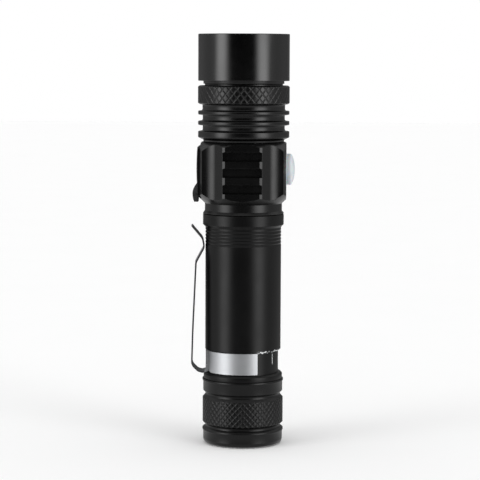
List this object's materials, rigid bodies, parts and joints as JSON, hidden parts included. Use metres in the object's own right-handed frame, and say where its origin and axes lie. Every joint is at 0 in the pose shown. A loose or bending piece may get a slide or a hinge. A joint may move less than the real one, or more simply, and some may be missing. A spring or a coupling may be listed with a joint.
{
  "type": "tactical flashlight",
  "caption": "Pocket flashlight with sliding zoom head, side button, covered charging port, spring clip and knurled screw-on tail cap.",
  "frame": {"origin": "centre of the tail cap's flat end face, on the barrel axis", "axes": "+Z along the barrel towards the lens; +X out of the button; -X out of the charging port and the clip"},
  "size_m": [0.0329, 0.0288, 0.1299],
  "materials": {
    "black_anodised": "satin black anodised",
    "clear_glass": "clear, polished",
    "black_rubber": "moulded",
    "clear_rubber": "translucent moulded silicone",
    "nitrile_seal": "smooth",
    "bare_aluminium": "turned",
    "brass_part": "turned",
    "led_chip": "phosphor under clear dome",
    "board": "solder mask",
    "board_white": "white solder mask",
    "lead_wire": "insulated",
    "socket_steel": "plated",
    "switch_black": "moulded",
    "switch_plastic": "moulded",
    "spring_steel": "nickel plated wire",
    "clip_steel": "bright stainless spring steel",
    "cell_wrap": "shrink-wrapped cell",
    "cell_metal": "nickel plated",
    "cell_paper": "paper washer"
  },
  "bodies": {
    "light_body": {"switch_housing": "black_anodised", "battery_tube": "black_anodised", "focus_barrel": "black_anodised", "zoom_oring": "nitrile_seal", "led_pill": "brass_part", "led_board": "board_white", "led_emitter": "led_chip", "led_leads": "lead_wire", "charge_board": "board", "usb_socket": "socket_steel", "tact_switch": "switch_black", "driver_board": "board", "driver_ring": "brass_part", "front_contact": "spring_steel", "body_oring": "nitrile_seal", "tail_oring": "nitrile_seal", "battery_cell": "cell_wrap", "battery_terminal": "cell_metal", "cell_insulator": "cell_paper"},
    "zoom_head": {"head_sleeve": "black_anodised", "bezel": "black_anodised", "lens": "clear_glass", "lens_gasket": "black_rubber"},
    "button": {"button_boot": "clear_rubber", "button_plunger": "switch_plastic", "switch_stem": "switch_plastic"},
    "port_flap": {"port_cover": "black_rubber"},
    "clip": {"pocket_clip": "clip_steel"},
    "tail_contact": {"tail_spring": "spring_steel"},
    "tail_assembly": {"tail_cap": "black_anodised", "tail_board": "board", "tail_ring": "bare_aluminium"}
  },
  "joints": [
    {"name": "zoom_slide", "type": "slide", "parent": "light_body", "child": "zoom_head", "axis": [0, 0, 1], "range_m": [0, 0.007]},
    {"name": "button_press", "type": "slide", "parent": "light_body", "child": "button", "axis": [-1, 0, 0], "range_m": [0, 0.0006], "stiffness_N_per_m": 2500},
    {"name": "port_cover_swing", "type": "hinge", "parent": "light_body", "child": "port_flap", "pos_m": [-0.014, 0, 0.0943], "axis": [0, 1, 0], "range_deg": [0, 100]},
    {"name": "clip_swivel", "type": "hinge", "parent": "light_body", "child": "clip", "pos_m": [0, 0, 0.0266], "axis": [0, 0, 1], "continuous": true},
    {"name": "tail_cap_travel", "type": "slide", "parent": "light_body", "child": "tail_contact", "axis": [0, 0, -1], "range_m": [0, 0.007]},
    {"name": "tail_cap_turn", "type": "hinge", "parent": "tail_contact", "child": "tail_assembly", "pos_m": [0, 0, 0.01], "axis": [0, 0, -1], "range_deg": [0, 2520]}
  ],
  "couplings": [
    {"joint": "tail_cap_travel", "follows": "tail_cap_turn", "m_per_rad": 0.00015915}
  ]
}
